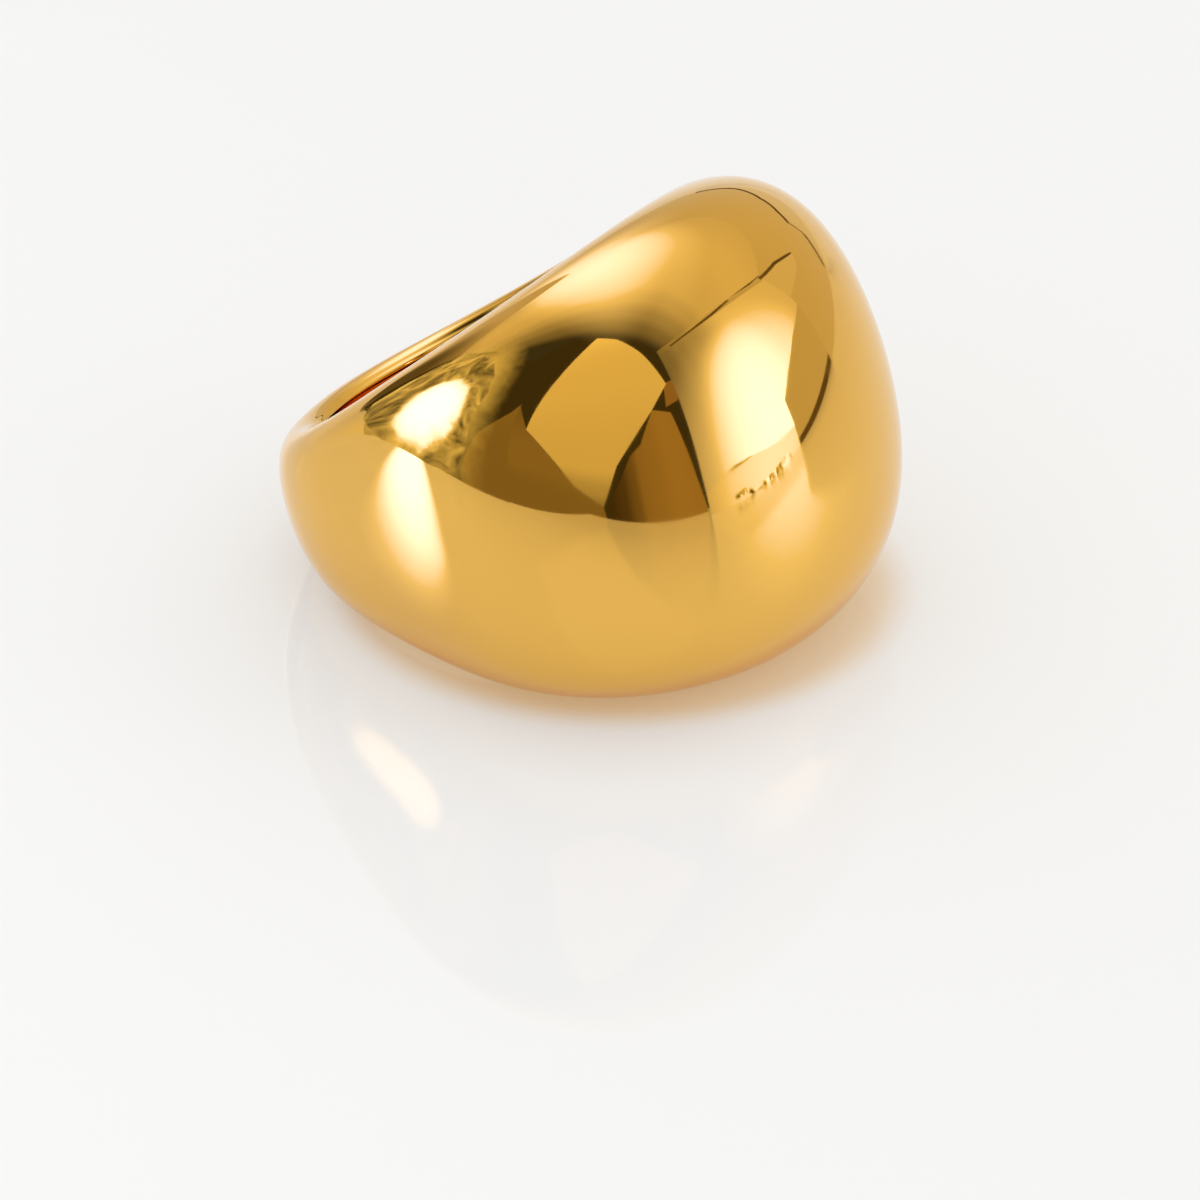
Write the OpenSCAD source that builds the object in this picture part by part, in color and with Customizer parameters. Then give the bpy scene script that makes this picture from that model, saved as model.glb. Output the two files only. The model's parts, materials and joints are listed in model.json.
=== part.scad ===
// Dome ring: one solid piece of metal, wide and high in front, narrow at the back of the finger.
// It lies on its side, at the tilt at which it balances, with the dome towards +X.

/* [Finger hole] */
// Diameter of the finger hole
bore_d = 17; // [15:0.1:21]

/* [Dome] */
// Width of the dome along the finger
dome_w = 21; // [16:0.1:24]
// Height of the dome's top over the wall of the finger hole
dome_h = 9; // [6:0.1:11]
// Breadth of the dome's top round the ring, from narrow to broad
dome_breadth = 2.1; // [1:0.1:3]
// Steepness of the dome's flanks, from gentle to steep
dome_fall = 10; // [3:0.5:14]

/* [Shank] */
// Width of the band at the back of the finger
shank_w = 6.2; // [4:0.1:8]
// Thickness of the band at the back of the finger
shank_h = 2.6; // [1.8:0.1:3.5]
// Taper of the width between dome and back, from wide shoulders to narrow ones
shank_taper = 1.3; // [0.7:0.1:1.8]

/* [Section] */
// Overhang of the metal past the rim of the hole, as a share of the section's half height
overhang = 0.42; // [0.2:0.02:0.5]
// Fullness of the section, from a plain ellipse at 2 to squarer shoulders
fullness = 2.3; // [2:0.1:3]

/* [Detail] */
// Sections round the ring
sections = 96; // [48:8:112]
// Points along the outside of each section
section_points = 40; // [24:2:44]

/* [Hidden] */

bore_r = bore_d / 2;
// Depth to which each section runs on inside the wall, so that the hole is cut cleanly
wall_margin = 0.5;
// Most that the ring can be tilted while it still lies on its side
max_tilt = 45;
// Halvings in the search for the tilt, which leave it exact to a thousandth of a degree
tilt_halvings = 16;
// Height within which a point counts as touching the floor
touch_margin = 0.000001;

// The share of the way from the back of the shank, 0, to the dome's top, 1, at angle a round the ring
function front_share(a) = (1 + cos(a)) / 2;

// The share of the dome's height that is left at angle a round the ring
function dome_share(a) = pow(1 - pow(1 - front_share(a), dome_breadth), dome_fall);

// The sizes of the section at angle a round the ring
function width_at(a) = shank_w + (dome_w - shank_w) * pow(front_share(a), shank_taper);
function height_at(a) = shank_h + (dome_h - shank_h) * dome_share(a);

// Each section is part of a full oval: its half height, its centre's distance from the hole's axis,
// and the angle on the oval at which it meets the inside of the wall
function half_height_at(a) = height_at(a) / (1 + overhang);
function centre_at(a) = bore_r + half_height_at(a) * overhang;
function end_angle_at(a) = acos(-pow(overhang + wall_margin / half_height_at(a), fullness / 2));

// A sine or cosine, drawn out towards the shoulders of a full oval
function full(share) = sign(share) * pow(abs(share), 2 / fullness);

// One section, as distances from the hole's axis and heights along it, from the upper rim to the lower
function section_at(a) = [
    for (i = [0 : section_points - 1])
        let (s = end_angle_at(a) * (1 - 2 * i / (section_points - 1)))
        [centre_at(a) + half_height_at(a) * full(cos(s)), width_at(a) / 2 * full(sin(s))]
];

section_angles = [for (i = [0 : sections - 1]) 360 * i / sections];
section_table = [for (a = section_angles) section_at(a)];
outside = [
    for (i = [0 : sections - 1])
        for (p = section_table[i])
            [p[0] * cos(section_angles[i]), p[0] * sin(section_angles[i]), p[1]]
];

// Moment of a section's metal about the hole's axis: power 1 weighs its volume, power 2 its reach
function section_moment(section, power) = sum([
    for (i = [1 : section_points - 1])
        let (near = max(section[i][0], bore_r), far = max(section[i - 1][0], bore_r))
        (section[i][1] + section[i - 1][1]) / 2 * (pow(far, power + 1) - pow(near, power + 1)) / (power + 1)
]);
function sum(values) = values * [for (v = values) 1];

// Distance of the centre of mass from the hole's axis, towards the dome
balance_x = sum([for (i = [0 : sections - 1]) section_moment(section_table[i], 2) * cos(section_angles[i])])
    / sum([for (section = section_table) section_moment(section, 1)]);

// A point of the ring after the ring is tilted by angle t, dome upwards
function tilted(p, t) = [p[0] * cos(t) - p[2] * sin(t), p[1], p[0] * sin(t) + p[2] * cos(t)];
function lowest(points) = min([for (p = points) p[2]]);

// Where the tilted ring touches the floor, measured towards the dome
function touch_x(points) =
    let (floor_height = lowest(points))
    max([for (p = points) if (p[2] <= floor_height + touch_margin) p[0]]);

// The ring comes to rest where its centre of mass is over the point that touches: behind that point
// it rocks back and tilts more, and in front of it, it rocks forward and tilts less
function rest_tilt(low, high, halvings) =
    let (middle = (low + high) / 2)
    halvings == 0 ? middle
    : touch_x([for (p = outside) tilted(p, middle)]) > balance_x * cos(middle)
        ? rest_tilt(middle, high, halvings - 1)
        : rest_tilt(low, middle, halvings - 1);

tilt = rest_tilt(0, max_tilt, tilt_halvings);
resting = [for (p = outside) tilted(p, tilt)];
floor_z = lowest(resting);
middle_x = (min([for (p = resting) p[0]]) + max([for (p = resting) p[0]])) / 2;

// The outside of the ring, with its sections joined into one closed skin
module skin() {
    polyhedron(
        points = outside,
        faces = [
            for (i = [0 : sections - 1])
                for (j = [0 : section_points - 1])
                    let (
                        next_i = (i + 1) % sections,
                        next_j = (j + 1) % section_points,
                        here = i * section_points + j,
                        below = i * section_points + next_j,
                        across = next_i * section_points + j,
                        corner = next_i * section_points + next_j
                    )
                    each [[here, corner, below], [here, across, corner]]
        ]
    );
}

module ring() {
    color("goldenrod")
        translate([-middle_x, 0, -floor_z])
        rotate([0, -tilt, 0])
        difference() {
            skin();
            cylinder(d = bore_d, h = dome_w + 2, center = true, $fn = 180);
        }
}

ring();
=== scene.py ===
"""Dome ring: a wide, high dome of mirror-polished yellow gold on a band that narrows at the back.

It lies on its side on a pale floor, in a small light tent. Everything is in metres, in the frame's own axes.
"""

import json
import math

import bmesh
import bpy
from bpy.props import FloatProperty, FloatVectorProperty, IntProperty, PointerProperty
from mathutils import Matrix, Vector


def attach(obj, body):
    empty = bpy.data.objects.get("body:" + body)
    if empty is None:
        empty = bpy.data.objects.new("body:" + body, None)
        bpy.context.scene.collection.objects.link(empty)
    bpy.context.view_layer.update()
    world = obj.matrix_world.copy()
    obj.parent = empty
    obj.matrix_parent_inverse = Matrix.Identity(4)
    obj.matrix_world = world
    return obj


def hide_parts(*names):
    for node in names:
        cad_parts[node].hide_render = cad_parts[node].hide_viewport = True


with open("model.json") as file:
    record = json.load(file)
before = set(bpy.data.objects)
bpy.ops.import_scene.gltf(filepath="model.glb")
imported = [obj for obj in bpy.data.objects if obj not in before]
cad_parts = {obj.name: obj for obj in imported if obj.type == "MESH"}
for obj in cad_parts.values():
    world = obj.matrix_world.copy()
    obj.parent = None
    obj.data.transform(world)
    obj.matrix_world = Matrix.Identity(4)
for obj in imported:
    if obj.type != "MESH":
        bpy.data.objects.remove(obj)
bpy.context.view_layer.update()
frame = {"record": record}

bl_info = {
    "name": "Dome Ring",
    "version": (1, 0, 0),
    "blender": (4, 5, 0),
    "location": "3D View > Sidebar > Ring",
    "description": "Builds a polished dome ring and the light tent that it is shown in",
    "category": "Add Mesh",
}

MM = 0.001
# How near two places in the plain spun tube, whose hole has a radius of 1, count as the same
SLACK = 0.0001
# Passes that close in on the rim's place in the section
RIM_PASSES = 12

# The finger hole as the frame gives it: its centre, its axis and its radius
FINGER_HOLE = next(m for m in frame["record"]["mounts"] if m["name"] == "finger_bore")
HOLE_CENTRE = Vector(FINGER_HOLE["pos_m"])
HOLE_AXIS = Vector(FINGER_HOLE["axis"]).normalized()
HOLE_DIAMETER = 2 * FINGER_HOLE["dims"]["r_mm"] * MM
# The angle at which the ring leans on its dome
LEAN = math.atan2(-HOLE_AXIS.x, HOLE_AXIS.z)


class RingSizes(bpy.types.PropertyGroup):
    """Sizes of the finger hole, the dome and the shank"""

    hole_diameter: FloatProperty(
        name="Hole Diameter",
        description="Diameter of the finger hole",
        default=HOLE_DIAMETER,
        unit="LENGTH",
    )
    dome_width: FloatProperty(
        name="Dome Width",
        description="Width of the dome along the finger",
        default=21.0 * MM,
        unit="LENGTH",
    )
    dome_height: FloatProperty(
        name="Dome Height",
        description="Height of the dome's top over the wall of the hole",
        default=9.0 * MM,
        unit="LENGTH",
    )
    dome_breadth: FloatProperty(
        name="Dome Breadth",
        description="Breadth of the dome's top round the ring, from narrow to broad",
        default=2.1,
    )
    dome_fall: FloatProperty(
        name="Dome Fall",
        description="Steepness of the dome's flanks, from gentle to steep",
        default=10.0,
    )
    shank_width: FloatProperty(
        name="Shank Width",
        description="Width of the band at the back of the finger",
        default=6.2 * MM,
        unit="LENGTH",
    )
    shank_height: FloatProperty(
        name="Shank Height",
        description="Thickness of the band at the back of the finger",
        default=2.6 * MM,
        unit="LENGTH",
    )
    shank_taper: FloatProperty(
        name="Shank Taper",
        description="Taper of the width between dome and back, from wide shoulders to narrow ones",
        default=1.3,
    )
    overhang: FloatProperty(
        name="Overhang",
        description="Overhang of the metal past the rim, as a share of the section's half height",
        default=0.42,
        subtype="FACTOR",
    )
    shoulder: FloatProperty(
        name="Shoulder",
        description="How much fuller than an ellipse the outside of the section is at its shoulders",
        default=0.0925,
    )
    rim_ease: FloatProperty(
        name="Rim Ease",
        description="Width of the eased edge at each rim of the hole",
        default=0.22 * MM,
        unit="LENGTH",
    )
    sections: IntProperty(
        name="Sections",
        description="Sections round the ring, before smoothing",
        default=96,
    )
    outside_steps: IntProperty(
        name="Outside Steps",
        description="Faces across the outside of a section, before smoothing",
        default=24,
    )
    wall_steps: IntProperty(
        name="Wall Steps",
        description="Faces across the wall of the hole, before smoothing",
        default=5,
    )


class GoldFinish(bpy.types.PropertyGroup):
    """Colour and polish of the gold"""

    colour: FloatVectorProperty(
        name="Colour",
        description="Colour of the polished gold",
        default=(0.90, 0.53, 0.115),
        subtype="COLOR",
    )
    deep_colour: FloatVectorProperty(
        name="Deep Colour",
        description="Redder tone that drifts through the gold",
        default=(0.88, 0.50, 0.10),
        subtype="COLOR",
    )
    polish: FloatProperty(
        name="Polish",
        description="Roughness where the mirror polish is best",
        default=0.035,
        subtype="FACTOR",
    )
    haze: FloatProperty(
        name="Haze",
        description="Roughness where the polish is hazy",
        default=0.085,
        subtype="FACTOR",
    )
    wave_height: FloatProperty(
        name="Wave Height",
        description="Height of the broad waves that polishing by hand leaves",
        default=0.012 * MM,
        unit="LENGTH",
    )
    wave_length: FloatProperty(
        name="Wave Length",
        description="Length of those waves",
        default=5.0 * MM,
        unit="LENGTH",
    )


class StudioLook(bpy.types.PropertyGroup):
    """Floor and light of the studio"""

    floor_colour: FloatVectorProperty(
        name="Floor Colour",
        description="Colour of the glossy floor",
        default=(0.86, 0.86, 0.86),
        subtype="COLOR",
    )
    floor_haze: FloatProperty(
        name="Floor Haze",
        description="Roughness of the floor's gloss where the ring mirrors the floor",
        default=0.12,
        subtype="FACTOR",
    )
    floor_gloss: FloatProperty(
        name="Floor Gloss",
        description="Roughness of the floor's gloss where the camera sees the floor itself",
        default=0.03,
        subtype="FACTOR",
    )
    floor_ior: FloatProperty(
        name="Floor IOR",
        description="Refractive index of the floor's gloss",
        default=1.5,
    )
    floor_tint: FloatVectorProperty(
        name="Floor Tint",
        description="Colour of the white towards which the floor is lifted",
        default=(1.0, 1.0, 0.99),
        subtype="COLOR",
    )
    floor_white: FloatProperty(
        name="Floor White",
        description="Brightness towards which the camera sees the floor lifted",
        default=0.945,
    )
    # Painted light: colour of the warm glow painted on the floor round the ring's foot
    painted_shine_colour: FloatVectorProperty(
        name="Ring Shine",
        description="Colour of the light that the ring throws on the floor round its foot",
        default=(0.9, 0.63, 0.33),
        subtype="COLOR",
    )
    floor_lift: FloatProperty(
        name="Floor Lift",
        description="How far the camera sees the floor lifted towards that white",
        default=0.42,
        subtype="FACTOR",
    )
    floor_veil: FloatProperty(
        name="Floor Veil",
        description="How far the floor's own mirror images are veiled where the ring mirrors the floor",
        default=0.4,
        subtype="FACTOR",
    )
    veil_white: FloatProperty(
        name="Veil White",
        description="Brightness of that veil",
        default=0.86,
    )
    # Painted reflection: brightness of the lamp's image painted on the floor
    painted_lamp_reflection: FloatProperty(
        name="Lamp Image",
        description="Brightness of the lamp's image in the floor, where the ring mirrors the floor",
        default=4.0,
    )
    sky_light: FloatProperty(
        name="Sky Light",
        description="Brightness of the even light on the floor from all round",
        default=0.92,
    )
    room_light: FloatProperty(
        name="Room Light",
        description="Brightness of what the ring mirrors beyond the tent",
        default=0.05,
    )
    side_light: FloatProperty(
        name="Side Light",
        description="Power of the light that the right wall throws on the floor",
        default=0.25,
        unit="POWER",
    )
    fill_light: FloatProperty(
        name="Fill Light",
        description="Power of the wide light over the floor",
        default=1.0,
        unit="POWER",
    )


def dome_share(front, sizes):
    """Share of the dome's height at a place round the ring, where 0 is the back and 1 the front."""
    return (1 - (1 - front) ** sizes.dome_breadth) ** sizes.dome_fall


def section_at(angle, sizes):
    """Half width, half height and centre's radius of the section at that angle round the ring."""
    front = (1 + math.cos(angle)) / 2
    rise = dome_share(front, sizes)
    width = sizes.shank_width + (sizes.dome_width - sizes.shank_width) * front ** sizes.shank_taper
    height = sizes.shank_height + (sizes.dome_height - sizes.shank_height) * rise
    half_height = height / (1 + sizes.overhang)
    centre = sizes.hole_diameter / 2 + half_height * sizes.overhang
    return width / 2, half_height, centre


def full(share, shoulder):
    """A sine or cosine, drawn out at the shoulders of the oval by that share."""
    return share * (1 + shoulder * (1 - share * share))


def half_round(bm, outside_steps, wall_steps):
    """A D-shaped outline of unit size beside the axis: its straight side is the wall of the hole."""
    foot = bm.verts.new((1, 0, -1))
    bmesh.ops.spin(
        bm,
        geom=[foot],
        cent=(1, 0, 0),
        axis=(0, -1, 0),
        angle=math.pi,
        steps=outside_steps,
        use_merge=False,
        use_duplicate=False,
    )
    bm.verts.ensure_lookup_table()
    head = max(bm.verts, key=lambda v: v.co.z)
    wall = bm.edges.new((foot, head))
    bmesh.ops.subdivide_edges(bm, edges=[wall], cuts=wall_steps - 1)


def on_rim(vert):
    """Whether that vertex of the plain spun tube lies on a rim of the hole."""
    return math.hypot(vert.co.x, vert.co.y) < 1 + SLACK and abs(vert.co.z) > 1 - SLACK


def stretch_to_ring(bm, sizes):
    """Stretches the plain spun tube, section by section, into the dome ring."""
    hole_radius = sizes.hole_diameter / 2
    # The turn round the section at which the outside meets the wall of the hole, closed in on
    rim = -sizes.overhang
    for _ in range(RIM_PASSES):
        rim = -sizes.overhang / (1 + sizes.shoulder * (1 - rim * rim))
    rim_turn = math.acos(rim)
    rim_share = full(math.sin(rim_turn), sizes.shoulder)
    for vert in bm.verts:
        across, height = math.hypot(vert.co.x, vert.co.y), vert.co.z
        angle = math.atan2(vert.co.y, vert.co.x)
        half_width, half_height, centre = section_at(angle, sizes)
        if across < 1 + SLACK:
            radius, z = hole_radius, half_width * rim_share * height
        else:
            turn = math.atan2(height, across - 1) / (math.pi / 2) * rim_turn
            radius = centre + half_height * full(math.cos(turn), sizes.shoulder)
            z = half_width * full(math.sin(turn), sizes.shoulder)
        vert.co = Vector((radius * math.cos(angle), radius * math.sin(angle), z))


def add_object(name, bm):
    """Turns a bmesh into a smooth-shaded mesh object at the origin."""
    mesh = bpy.data.meshes.new(name)
    bm.to_mesh(mesh)
    bm.free()
    mesh.shade_smooth()
    obj = bpy.data.objects.new(name, mesh)
    bpy.context.scene.collection.objects.link(obj)
    return obj


class RING_OT_add_dome_ring(bpy.types.Operator):
    """Add the dome ring in polished gold"""

    bl_idname = "ring.add_dome_ring"
    bl_label = "Add Dome Ring"

    def execute(self, context):
        sizes = context.scene.ring_sizes
        bm = bmesh.new()
        half_round(bm, sizes.outside_steps, sizes.wall_steps)
        bmesh.ops.spin(
            bm,
            geom=bm.verts[:] + bm.edges[:],
            cent=(0, 0, 0),
            axis=(0, 0, 1),
            angle=math.tau,
            steps=sizes.sections,
            use_merge=False,
            use_duplicate=False,
        )
        bmesh.ops.remove_doubles(bm, verts=bm.verts, dist=SLACK)
        bmesh.ops.recalc_face_normals(bm, faces=bm.faces)
        rims = [edge for edge in bm.edges if all(on_rim(vert) for vert in edge.verts)]
        stretch_to_ring(bm, sizes)
        bmesh.ops.bevel(
            bm,
            geom=rims,
            offset=sizes.rim_ease,
            offset_type="OFFSET",
            segments=2,
            profile=0.5,
            affect="EDGES",
            clamp_overlap=True,
            material=-1,
        )
        bmesh.ops.recalc_face_normals(bm, faces=bm.faces)
        place = Matrix.Translation(HOLE_CENTRE) @ Matrix.Rotation(-LEAN, 4, "Y")
        bmesh.ops.transform(bm, matrix=place, verts=bm.verts)
        ring = add_object("dome_ring", bm)
        smooth = ring.modifiers.new("Smooth", "SUBSURF")
        smooth.levels = smooth.render_levels = 2
        ring.data.materials.append(polished_gold(context.scene.gold_finish))
        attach(ring, "root")
        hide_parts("ring")
        return {"FINISHED"}


def new_material(name):
    """A new node material, emptied: returns it, its node tree and its output node."""
    material = bpy.data.materials.new(name)
    material.use_nodes = True
    tree = material.node_tree
    tree.nodes.clear()
    return material, tree, tree.nodes.new("ShaderNodeOutputMaterial")


def add_node(tree, kind, inputs=None, **settings):
    """Adds a node. An input is a value, or another node's output that is linked to it."""
    node = tree.nodes.new(kind)
    for key, value in settings.items():
        setattr(node, key, value)
    for key, value in (inputs or {}).items():
        if isinstance(value, bpy.types.NodeSocket):
            tree.links.new(value, node.inputs[key])
        else:
            node.inputs[key].default_value = value
    return node


def rgba(colour):
    """A colour with full alpha, as a socket takes it."""
    return (*colour, 1.0)


def colour_mix(tree, share, first, second):
    """A colour that goes from the first to the second as the share rises."""
    mix = add_node(tree, "ShaderNodeMix", {"Factor": share}, data_type="RGBA")
    for socket, colour in zip(mix.inputs[6:8], (first, second)):
        socket.default_value = rgba(colour)
    return mix.outputs[2]


def shader_mix(tree, share, first, second):
    """A shader that goes from the first to the second as the share rises."""
    return add_node(tree, "ShaderNodeMixShader", {0: share, 1: first, 2: second}).outputs["Shader"]


def product(tree, first, second):
    """One number times another."""
    node = add_node(tree, "ShaderNodeMath", {0: first, 1: second}, operation="MULTIPLY")
    return node.outputs["Value"]


def glow(tree, colour, strength):
    """Plain light of that colour and strength."""
    node = add_node(tree, "ShaderNodeEmission", {"Color": colour, "Strength": strength})
    return node.outputs["Emission"]


def in_first_reflection(tree, share):
    """That share of a light in the first reflection that the camera sees, and none in further ones."""
    path = add_node(tree, "ShaderNodeLightPath")
    first = add_node(
        tree, "ShaderNodeMath", {0: path.outputs["Ray Depth"], 1: 1.0, 2: 0.5}, operation="COMPARE"
    )
    return product(tree, share, first.outputs["Value"])


def soft_share(tree, place, centre, reach, turn=0.0, core=1.0):
    """Share of a soft-edged ball, all in millimetres: 1 in its core and 0 beyond its reach.

    Turn is its angle about Z. A core under 1 makes the edge crisper.
    """
    ball = add_node(
        tree,
        "ShaderNodeMapping",
        {
            "Vector": place,
            "Location": Vector(centre) * MM,
            "Rotation": (0, 0, turn),
            "Scale": Vector(reach) * MM,
        },
        vector_type="TEXTURE",
    ).outputs["Vector"]
    fade = add_node(
        tree, "ShaderNodeTexGradient", {"Vector": ball}, gradient_type="SPHERICAL"
    ).outputs["Fac"]
    return add_node(
        tree,
        "ShaderNodeMapRange",
        {"Value": fade, "From Max": core},
        interpolation_type="SMOOTHSTEP",
    ).outputs["Result"]


def polished_gold(finish):
    """Mirror-polished gold with the faint waves and haze that polishing by hand leaves."""
    material, tree, output = new_material("polished_gold")
    place = add_node(tree, "ShaderNodeTexCoord")
    # Coordinates in millimetres, with the finger hole along Z
    ring_mm = add_node(
        tree,
        "ShaderNodeMapping",
        {
            "Vector": place.outputs["Object"],
            "Location": HOLE_CENTRE,
            "Rotation": (0, -LEAN, 0),
            "Scale": (MM, MM, MM),
        },
        vector_type="TEXTURE",
    ).outputs["Vector"]
    drift = add_node(
        tree, "ShaderNodeTexNoise", {"Vector": ring_mm, "Scale": 0.11, "Detail": 2.0}
    ).outputs["Fac"]
    colour = colour_mix(tree, drift, finish.colour, finish.deep_colour)
    haze = add_node(
        tree, "ShaderNodeTexNoise", {"Vector": ring_mm, "Scale": 0.35, "Detail": 4.0}
    ).outputs["Fac"]
    roughness = add_node(
        tree,
        "ShaderNodeMapRange",
        {
            "Value": haze,
            "From Min": 0.45,
            "From Max": 0.75,
            "To Min": finish.polish,
            "To Max": finish.haze,
        },
    ).outputs["Result"]
    waves = add_node(
        tree,
        "ShaderNodeTexNoise",
        {"Vector": ring_mm, "Scale": MM / finish.wave_length, "Detail": 1.0},
    ).outputs["Fac"]
    waved = add_node(
        tree, "ShaderNodeBump", {"Height": waves, "Distance": finish.wave_height, "Strength": 1.0}
    ).outputs["Normal"]
    shader = add_node(
        tree,
        "ShaderNodeBsdfPrincipled",
        {
            "Base Color": colour,
            "Roughness": roughness,
            "Metallic": 1.0,
            "Normal": waved,
        },
    )
    tree.links.new(shader.outputs["BSDF"], output.inputs["Surface"])
    return material


def glossy_floor(look):
    """White floor with a clear gloss. The camera sees it lifted towards white, as a product picture is. A
    warm glow round the ring's foot and the lamp's blurred reflection are painted on it.
    """
    material, tree, output = new_material("glossy_floor")
    path = add_node(tree, "ShaderNodeLightPath").outputs
    place = add_node(tree, "ShaderNodeTexCoord").outputs["Object"]
    haze = add_node(
        tree,
        "ShaderNodeMapRange",
        {"Value": path["Is Camera Ray"], "To Min": look.floor_haze, "To Max": look.floor_gloss},
    ).outputs["Result"]
    floor = add_node(
        tree,
        "ShaderNodeBsdfPrincipled",
        {"Base Color": rgba(look.floor_colour), "Roughness": haze, "IOR": look.floor_ior},
    ).outputs["BSDF"]
    # Painted light: a warm glow painted on the floor round the ring's foot, for the light that the ring
    # throws there. It tints the floor's lift and veil.
    painted_shine_share = soft_share(tree, place, (1.8, 0.6, 0), (13.7, 12.4, 13), math.radians(36), core=0.18)
    tint = colour_mix(tree, painted_shine_share, look.floor_tint, look.painted_shine_colour)
    lift = product(tree, path["Is Camera Ray"], look.floor_lift)
    seen = shader_mix(tree, lift, floor, glow(tree, tint, look.floor_white))
    veil = product(tree, path["Is Glossy Ray"], look.floor_veil)
    mirrored = shader_mix(tree, veil, seen, glow(tree, tint, look.veil_white))
    # Painted reflection: the lamp's long blurred image painted on the floor beside the ring's narrow end,
    # shown only in the first reflection
    image = soft_share(tree, place, (-33, -34.6, 0), (37.5, 7, 10), math.radians(35), core=0.65)
    lamp = glow(tree, rgba((1, 1, 1)), look.painted_lamp_reflection)
    lit = shader_mix(tree, in_first_reflection(tree, image), mirrored, lamp)
    tree.links.new(lit, output.inputs["Surface"])
    return material


def card_light(name, colour, strength):
    """Even light of a card, or its dark face where the strength is small."""
    material, tree, output = new_material(name)
    tree.links.new(glow(tree, rgba(colour), strength), output.inputs["Surface"])
    return material


def fading_light(name, colour, along, stops):
    """Light of a card that changes along a direction. A stop is a place in millimetres and a strength."""
    material, tree, output = new_material(name)
    place = add_node(tree, "ShaderNodeTexCoord")
    first, last = stops[0][0], stops[-1][0]
    way = add_node(
        tree,
        "ShaderNodeVectorMath",
        {0: place.outputs["Object"], 1: Vector(along).normalized()},
        operation="DOT_PRODUCT",
    )
    share = add_node(
        tree,
        "ShaderNodeMapRange",
        {"Value": way.outputs["Value"], "From Min": first * MM, "From Max": last * MM},
    )
    ramp = add_node(tree, "ShaderNodeValToRGB", {"Fac": share.outputs["Result"]})
    ramp.color_ramp.interpolation = "EASE"
    while len(ramp.color_ramp.elements) < len(stops):
        ramp.color_ramp.elements.new(0.5)
    for element, (at, strength) in zip(ramp.color_ramp.elements, stops):
        element.position = (at - first) / (last - first)
        element.color = (strength, strength, strength, 1)
    tree.links.new(glow(tree, rgba(colour), ramp.outputs["Color"]), output.inputs["Surface"])
    return material


def glow_light(name, colour, strength, centre, reach, turn=0.0, core=1.0, ragged=0.0, once=False):
    """Light that fades from a centre outwards, as a lamp behind white cloth does.

    Centre, reach, turn and core are those of soft_share. Ragged moves the edge in and out by as many
    millimetres. Light that is seen once shows in no further reflection.
    """
    material, tree, output = new_material(name)
    place = add_node(tree, "ShaderNodeTexCoord").outputs["Object"]
    if ragged:
        crumple = add_node(
            tree, "ShaderNodeTexNoise", {"Vector": place, "Scale": 90.0, "Detail": 6.0, "Distortion": 0.6}
        )
        place = add_node(
            tree,
            "ShaderNodeVectorMath",
            {0: crumple.outputs["Color"], 1: (ragged * MM,) * 3, 2: place},
            operation="MULTIPLY_ADD",
        ).outputs["Vector"]
    share = soft_share(tree, place, centre, reach, turn, core)
    if once:
        share = in_first_reflection(tree, share)
    clear = add_node(tree, "ShaderNodeBsdfTransparent").outputs["BSDF"]
    light = shader_mix(tree, share, clear, glow(tree, rgba(colour), strength))
    tree.links.new(light, output.inputs["Surface"])
    return material


def crumpled_light(name, colour, dim, bright, first_fold=0.35):
    """Light of crumpled foil, from dim folds to bright ones. A higher first fold leaves more of it dim."""
    material, tree, output = new_material(name)
    place = add_node(tree, "ShaderNodeTexCoord")
    folds = add_node(
        tree,
        "ShaderNodeTexNoise",
        {"Vector": place.outputs["Object"], "Scale": 70.0, "Detail": 5.0, "Distortion": 1.5},
    )
    strength = add_node(
        tree,
        "ShaderNodeMapRange",
        {
            "Value": folds.outputs["Fac"],
            "From Min": first_fold,
            "From Max": 0.7,
            "To Min": dim,
            "To Max": bright,
        },
    )
    tree.links.new(glow(tree, rgba(colour), strength.outputs["Result"]), output.inputs["Surface"])
    return material


def add_card(name, corners, material):
    """A flat card of the studio that shows only in reflections. Its corners are in metres."""
    bm = bmesh.new()
    bm.faces.new([bm.verts.new(corner) for corner in corners])
    card = add_object(name, bm)
    card.data.materials.append(material)
    card.visible_camera = card.visible_diffuse = card.visible_shadow = False
    return card


def facing(azimuth, distance):
    """A wall across that azimuth, in degrees from +Y towards +X: its foot and its direction across."""
    sine, cosine = math.sin(math.radians(azimuth)), math.cos(math.radians(azimuth))
    return Vector((sine, cosine, 0)) * distance, Vector((cosine, -sine, 0))


# The tent's upright walls: the place of each at floor height, in millimetres, and its direction across.
# The one named edge stands close to the ring, with a lamp and dark cards on it. The one named room faces
# the tent's open side and carries dark, brown and bright cards.
WALLS = {
    "right": (Vector((350, 0, 0)), Vector((0, 1, 0))),
    "back": (Vector((0, 600, 0)), Vector((1, 0, 0))),
    "left": (Vector((-900, 0, 0)), Vector((0, 1, 0))),
    "room": facing(135, 500),
    "edge": facing(-131, 57),
}
ROOF_Z = 400


def on_wall(wall, points, nearer=0.0):
    """Corners on an upright wall, from places across and up in millimetres."""
    foot, across = WALLS[wall]
    start = foot - foot.normalized() * nearer
    return [(start + across * a + Vector((0, 0, z))) * MM for a, z in points]


def on_level(height, points):
    """Corners at one height, from x and y in millimetres."""
    return [Vector((x, y, height)) * MM for x, y in points]


class RING_OT_add_studio(bpy.types.Operator):
    """Add the floor, the light tent and the camera"""

    bl_idname = "ring.add_studio"
    bl_label = "Add Studio"

    def execute(self, context):
        look = context.scene.studio_look
        add_floor(look)
        add_sky(look)
        add_tent()
        add_lamps()
        add_dark_room()
        add_camera()
        roll_off_highlights()
        return {"FINISHED"}


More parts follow.
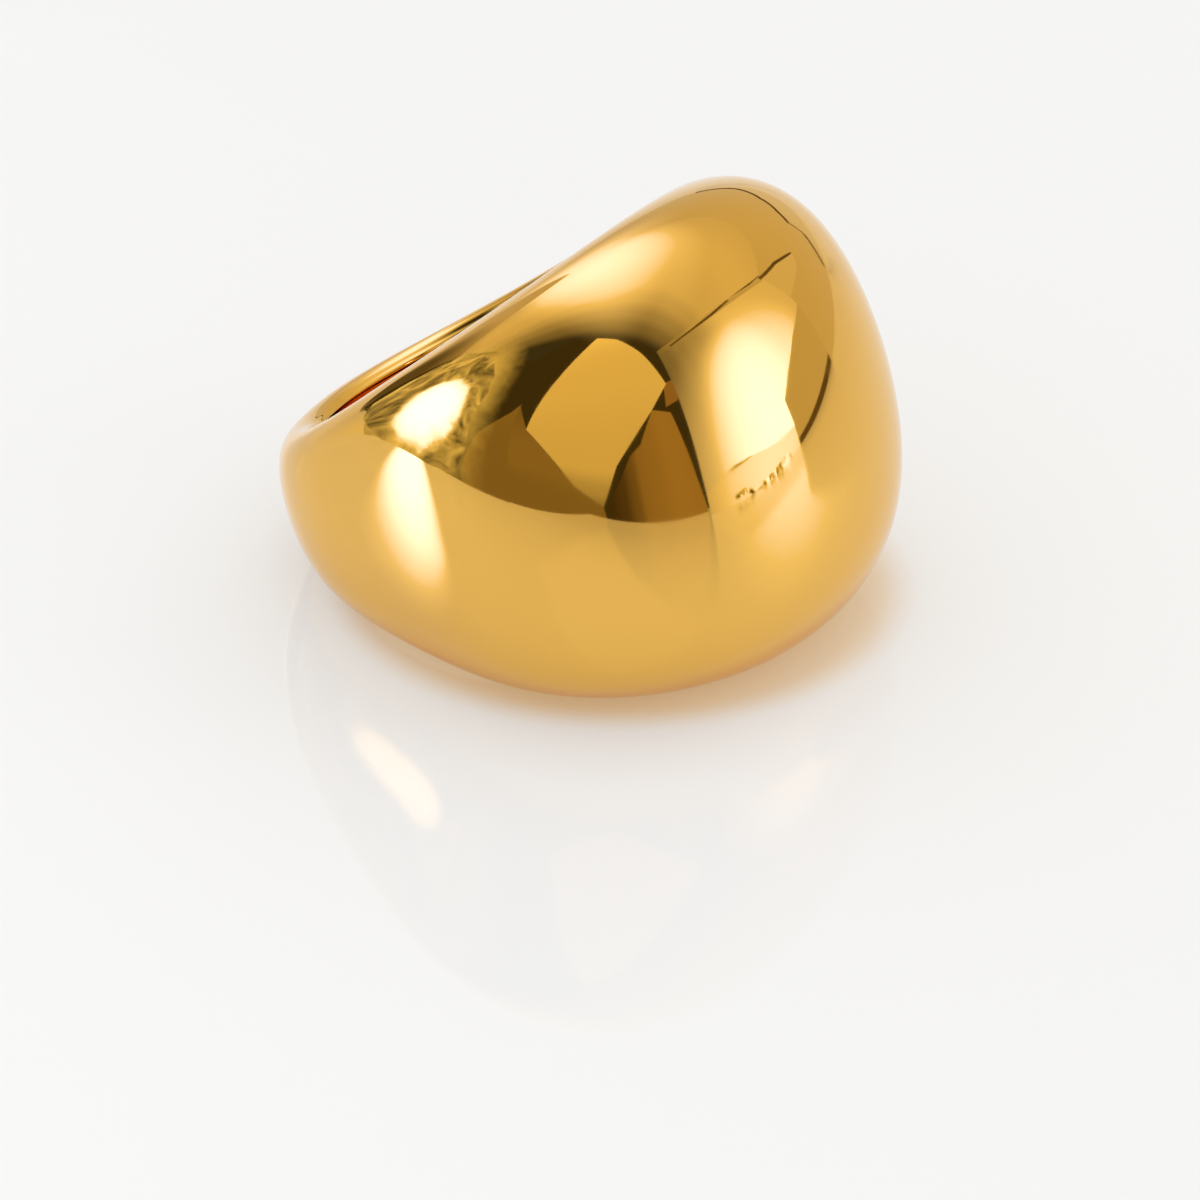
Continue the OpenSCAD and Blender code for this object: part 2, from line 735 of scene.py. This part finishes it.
def add_floor(look):
    """The glossy floor, far larger than the view."""
    bm = bmesh.new()
    bmesh.ops.create_grid(bm, x_segments=1, y_segments=1, size=2.0)
    floor = add_object("floor", bm)
    floor.data.materials.append(glossy_floor(look))


def add_sky(look):
    """Even light on the floor from all round, and a wide lamp over it: the ring mirrors neither."""
    world = bpy.data.worlds.new("soft_light")
    world.use_nodes = True
    tree = world.node_tree
    path = add_node(tree, "ShaderNodeLightPath")
    strength = add_node(
        tree,
        "ShaderNodeMapRange",
        {"Value": path.outputs["Is Glossy Ray"], "To Min": look.sky_light, "To Max": look.room_light},
    )
    sky = tree.nodes["Background"]
    sky.inputs["Color"].default_value = (1, 1, 1, 1)
    tree.links.new(strength.outputs["Result"], sky.inputs["Strength"])
    bpy.context.scene.world = world
    add_floor_light("floor_light", "DISK", (0.8, 0.8), look.fill_light, (-0.1, 0.1, 0.8))
    leftwards = (0, math.radians(90), 0)
    add_floor_light("side_light", "RECTANGLE", (0.3, 0.2), look.side_light, (0.34, 0.17, 0.1), leftwards)


def add_floor_light(name, shape, size, power, location, turn=(0, 0, 0)):
    """A lamp that lights the floor and shows in no reflection."""
    data = bpy.data.lights.new(name, "AREA")
    data.shape = shape
    data.size, data.size_y = size
    data.energy = power
    light = bpy.data.objects.new(name, data)
    light.location = location
    light.rotation_euler = turn
    light.visible_glossy = False
    bpy.context.scene.collection.objects.link(light)


def add_tent():
    """The tent's white cloth: roof, walls, the seam between them and the far edge of the floor."""
    roof_stops = [
        (-105, 0.05), (-50, 0.23), (0, 0.38), (60, 0.58), (120, 0.73), (300, 0.8), (600, 0.72), (1200, 0.7),
    ]
    roof = fading_light("roof_cloth", (1.0, 0.91, 0.66), (-0.25, 1, 0), roof_stops)
    roof_edge = [(-1500, -510), (350, -20), (350, 3500), (-1500, 3500)]
    add_card("roof", on_level(ROOF_Z, roof_edge), roof)
    side_stops = [(-40, 0.22), (60, 0.4), (150, 0.6), (700, 0.62)]
    side = fading_light("side_cloth", (1.0, 0.9, 0.62), (0, 1, 0), side_stops)
    add_card("right_wall", on_wall("right", [(-20, -2), (3500, -2), (3500, 402), (-20, 402)]), side)
    back_stops = [(-1000, 0.6), (0, 0.69), (350, 0.66)]
    back = fading_light("back_cloth", (1.0, 0.9, 0.64), (1, 0, 0), back_stops)
    add_card("back_wall", on_wall("back", [(-1500, -2), (350, -2), (350, 402), (-1500, 402)]), back)
    left_stops = [(-300, 0.1), (0, 0.3), (200, 0.6)]
    left = fading_light("left_cloth", (1.0, 0.88, 0.6), (0, 1, 0), left_stops)
    add_card("left_wall", on_wall("left", [(-400, -2), (3500, -2), (3500, 402), (-400, 402)]), left)
    line = card_light("seam", (1.0, 0.75, 0.35), 0.13)
    seam_low = [
        (30, 363), (121, 365), (225, 372), (330, 387), (330, 402), (225, 388), (121, 380), (30, 378),
    ]
    add_card("seam_on_wall", on_wall("right", seam_low, 2), line)
    seam_high = [(346, 330), (334, 532), (326, 598), (336, 598), (349, 500)]
    add_card("seam_on_roof", on_level(ROOF_Z - 2, seam_high), line)
    above_seam = [(340, 399), (290, 354), (210, 289), (142, 209), (118, 178)]
    below_seam = [(120, 172), (146, 197), (216, 273), (300, 339), (348, 381)]
    add_card("seam_on_back", on_wall("back", above_seam + below_seam, 10), line)
    back_panel = card_light("back_panel", (1.0, 0.93, 0.72), 0.74)
    add_card("back_panel", on_wall("back", below_seam + [(348, 205), (162, 158)], 9), back_panel)
    sweep = card_light("sweep", (1.0, 0.95, 0.78), 0.74)
    sweep_top = [
        (-461, 2), (-418, 14), (-339, 34), (-220, 88), (-109, 108), (-48, 104), (-20, 50), (25, 26), (60, 3),
    ]
    add_card("sweep", on_wall("back", sweep_top + [(60, -2), (-461, -2)], 2), sweep)
    hem = card_light("hem", (1.0, 0.7, 0.3), 0.12)
    hem_width = 15
    above = [(x, z + hem_width) for x, z in reversed(sweep_top)]
    add_card("hem_on_back", on_wall("back", sweep_top + above, 4), hem)
    right_hem = [(205, -2), (3000, -2), (3000, 60), (900, 28), (600, 17), (205, 7)]
    add_card("hem_on_right", on_wall("right", right_hem, 2), hem)


def add_lamps():
    """The lamps' light on the tent's cloth, and the bare lamp beyond the floor's edge."""
    roof_corners = [(-1500, -300), (340, -300), (340, 2000), (-1500, 2000)]
    back_corners = [(-1500, -2), (340, -2), (340, 398), (-1500, 398)]
    wide_roof = glow_light(
        "wide_roof_glow", (1, 1, 1), 1.43, (-936, 607, ROOF_Z), (1509, 217, 445), math.radians(-24)
    )
    add_card("wide_roof_glow", on_level(ROOF_Z - 4, roof_corners), wide_roof)
    add_card("wide_back_glow", on_wall("back", back_corners, 6), wide_roof)
    over = glow_light(
        "roof_glow", (1, 1, 1), 1.8, (-423, 286, ROOF_Z), (753, 193, 900), math.radians(-31.5)
    )
    add_card("roof_glow", on_level(ROOF_Z - 8, roof_corners), over)
    add_card("back_glow", on_wall("back", back_corners, 8), over)
    panel = [
        (-20, 28), (18, 37), (60, 43), (100, 41), (162, 32), (205, 29), (247, 26), (244, 62),
        (295, 86), (409, 125), (586, 168), (799, 212), (1333, 336), (1200, 370), (360, 366), (-20, 366),
    ]
    panel_stops = [(-25, 0.22), (0, 0.25), (50, 0.36), (100, 0.45), (250, 0.9), (600, 0.82), (1300, 0.43)]
    cloth = fading_light("panel_cloth", (1.0, 0.93, 0.72), (0, 1, 0), panel_stops)
    add_card("panel", on_wall("right", panel, 4), cloth)
    wide = glow_light("wide_glow", (1, 1, 1), 1.87, (350, 242, 0), (300, 398, 372))
    add_card("wide_glow", on_wall("right", panel, 6), wide)
    strong = glow_light("side_glow", (1, 1, 1), 2.5, (350, 185, 67), (300, 175, 252))
    add_card("side_panel", on_wall("right", panel, 8), strong)
    foot = glow_light("foot_glow", (1, 0.97, 0.85), 1.45, (350, 165, 20), (300, 330, 200))
    foot_corners = [(-20, -2), (250, -2), (250, 40), (-20, 40)]
    add_card("panel_foot", on_wall("right", foot_corners, 3), foot)
    tape = crumpled_light("tape", (1.0, 0.9, 0.6), 0.0, 2.6, first_fold=0.42)
    strip = [
        (40, 5), (67, 6), (89, -2), (134, -2), (205, -2), (205, 10), (164, 8), (134, 6), (89, 4), (67, 12),
        (40, 9),
    ]
    add_card("tape", on_wall("right", strip, 10), tape)
    corners = [(-62, 0), (45, 0), (45, 100), (-62, 100)]
    haze = glow_light(
        "foil_glow", (1.0, 0.95, 0.58), 0.95, (-36, -30, 40), (48, 48, 72), core=0.8, ragged=14.0
    )
    add_card("foil_glow", on_wall("edge", corners, 1), haze)
    foil = crumpled_light("foil", (1.0, 0.95, 0.62), 0.15, 0.95)
    crumple = [
        (23, 6), (9, 0), (-13, 0), (-25, 2), (-30, 14), (-27, 30), (-24, 48), (-14, 60), (4, 66),
        (26, 60), (44, 50), (45, 23), (42, 12), (35, 10),
    ]
    add_card("foil", on_wall("edge", crumple, 2), foil)
    lamp = glow_light(
        "lamp", (1, 1, 1), 7.0, (-36.5, -34, 28), (20, 20, 24), core=0.75, ragged=9.0, once=True
    )
    add_card("lamp", on_wall("edge", corners, 3), lamp)
    heart = glow_light("lamp_heart", (1, 1, 1), 5.5, (-37.8, -39.5, 22), (9, 9, 8), core=0.6)
    add_card("lamp_heart", on_wall("edge", corners, 2.5), heart)


def add_dark_room():
    """Dark, brown and bright cards on the tent's open side, for the deep tones in the gold."""
    dark = card_light("dark", (1.0, 0.85, 0.4), 0.05)
    brown = fading_light("brown", (1.0, 0.76, 0.32), (0, 0, 1), [(0, 0.24), (100, 0.28), (500, 0.2)])
    window_stops = [(20, 0.3), (60, 0.5), (120, 0.73), (500, 0.82), (1800, 1.02)]
    window = fading_light("window", (1.0, 0.9, 0.56), (0, 0, 1), window_stops)
    room_corners = [(-440, -30), (2500, -30), (2500, 3000), (-440, 3000)]
    add_card("room", on_wall("room", room_corners), dark)
    beyond = [
        (-62, -1), (15, -1), (23, 5), (35, 9), (48, 9), (56, 14), (52, 40), (20, 70), (-62, 120),
    ]
    add_card("beyond_edge", on_wall("edge", beyond), dark)
    band = glow_light("dark_band", (1.0, 0.8, 0.35), 0.12, (-92, 19, 20), (75, 75, 48), core=0.8)
    band_corners = [(41, 8), (125, 9), (190, 12), (190, 90), (41, 90)]
    add_card("dark_band", on_wall("edge", band_corners), band)
    low_brown = [(-28, 3), (-35, 24), (-45, 37), (-55, 50), (-62, 63), (-62, -1), (-30, -1)]
    add_card("brown_edge", on_wall("edge", low_brown, 0.5), brown)
    floor_corners = [(-53, -26), (325, -460), (-300, -1100), (-900, -444)]
    add_card("room_floor", on_level(0.2, floor_corners), brown)
    brown_corners = [
        (1400, -100), (20, -12), (31, 24), (203, 95), (437, 255), (575, 460), (1400, 900),
    ]
    add_card("brown_low", on_wall("room", brown_corners, 4), brown)
    dull_stops = [
        (-440, 0.36), (-300, 0.38), (-200, 0.33), (-150, 0.3), (-110, 0.18), (-60, 0.09), (0, 0.06),
    ]
    dull = fading_light("dull", (1.0, 0.7, 0.27), (-1, -1, 0), dull_stops)
    dull_corners = [
        (-269, 307), (-368, 293), (-393, 182), (-419, 82), (-438, 12), (-438, -20), (-10, -20),
        (10, 30), (-55, 92), (-115, 155), (-171, 186),
    ]
    add_card("brown_right", on_wall("room", dull_corners, 4), dull)
    facet = card_light("facet", (1.0, 0.66, 0.3), 0.3)
    facet_corners = [(-385, 440), (-484, 470), (-440, 345), (-350, 315)]
    add_card("facet", on_wall("room", facet_corners, 6), facet)
    opening = [
        (31, 24), (142, 60), (437, 255), (313, 748), (52, 2022), (-319, 782), (-400, 435), (-261, 300),
        (-130, 191), (-52, 129),
    ]
    add_card("window", on_wall("room", opening, 8), window)


CAMERA_PLACE = Vector((0.20600, -0.28198, 0.21376))
CAMERA_AIM = Vector((-0.50096, 0.68894, -0.52384))
LENS_MM = 270.2
SENSOR_MM = 36.0


def add_camera():
    """The camera at the photograph's viewing angle."""
    data = bpy.data.cameras.new("camera")
    data.lens = LENS_MM
    data.sensor_width = SENSOR_MM
    data.clip_start = 0.01
    camera = bpy.data.objects.new("camera", data)
    camera.location = CAMERA_PLACE
    camera.rotation_mode = "QUATERNION"
    camera.rotation_quaternion = CAMERA_AIM.to_track_quat("-Z", "Y")
    bpy.context.scene.collection.objects.link(camera)
    bpy.context.scene.camera = camera


# Brightness over which the picture's colours begin to fade towards white
ROLL_OFF_START = 0.9


def roll_off_highlights():
    """Lets what is brighter than white fade towards white, as film does, with no hard yellow edge."""
    scene = bpy.context.scene
    scene.view_settings.view_transform = "Standard"
    scene.use_nodes = True
    tree = scene.node_tree
    tree.nodes.clear()
    image = tree.nodes.new("CompositorNodeRLayers").outputs["Image"]
    parts = tree.nodes.new("CompositorNodeSeparateColor")
    tree.links.new(image, parts.inputs["Image"])

    def work(operation, first, second, clamp=False):
        node = tree.nodes.new("CompositorNodeMath")
        node.operation = operation
        node.use_clamp = clamp
        for socket, value in zip(node.inputs, (first, second)):
            if isinstance(value, bpy.types.NodeSocket):
                tree.links.new(value, socket)
            else:
                socket.default_value = value
        return node.outputs["Value"]

    red_green = work("MAXIMUM", parts.outputs["Red"], parts.outputs["Green"])
    peak = work("MAXIMUM", red_green, parts.outputs["Blue"])
    excess = work("MAXIMUM", work("SUBTRACT", peak, ROLL_OFF_START), 0.0)
    share = work("DIVIDE", excess, work("ADD", excess, 1.0), clamp=True)
    mix = tree.nodes.new("CompositorNodeMixRGB")
    tree.links.new(share, mix.inputs[0])
    tree.links.new(image, mix.inputs[1])
    mix.inputs[2].default_value = (1, 1, 1, 1)
    tree.links.new(mix.outputs["Image"], tree.nodes.new("CompositorNodeComposite").inputs["Image"])


class RING_PT_panel(bpy.types.Panel):
    """Lists the ring's sizes, its finish and the studio"""

    bl_label = "Dome Ring"
    bl_idname = "RING_PT_panel"
    bl_space_type = "VIEW_3D"
    bl_region_type = "UI"
    bl_category = "Ring"

    def draw(self, context):
        scene = context.scene
        for group, operator in (
            (scene.ring_sizes, RING_OT_add_dome_ring),
            (scene.gold_finish, None),
            (scene.studio_look, RING_OT_add_studio),
        ):
            for name in group.__annotations__:
                self.layout.prop(group, name)
            if operator:
                self.layout.operator(operator.bl_idname)


CLASSES = (
    RingSizes,
    GoldFinish,
    StudioLook,
    RING_OT_add_dome_ring,
    RING_OT_add_studio,
    RING_PT_panel,
)


def register():
    for cls in CLASSES:
        bpy.utils.register_class(cls)
    bpy.types.Scene.ring_sizes = PointerProperty(type=RingSizes)
    bpy.types.Scene.gold_finish = PointerProperty(type=GoldFinish)
    bpy.types.Scene.studio_look = PointerProperty(type=StudioLook)


def unregister():
    del bpy.types.Scene.studio_look
    del bpy.types.Scene.gold_finish
    del bpy.types.Scene.ring_sizes
    for cls in reversed(CLASSES):
        bpy.utils.unregister_class(cls)


def main():
    register()
    bpy.ops.ring.add_dome_ring()
    bpy.ops.ring.add_studio()


if __name__ == "__main__":
    main()
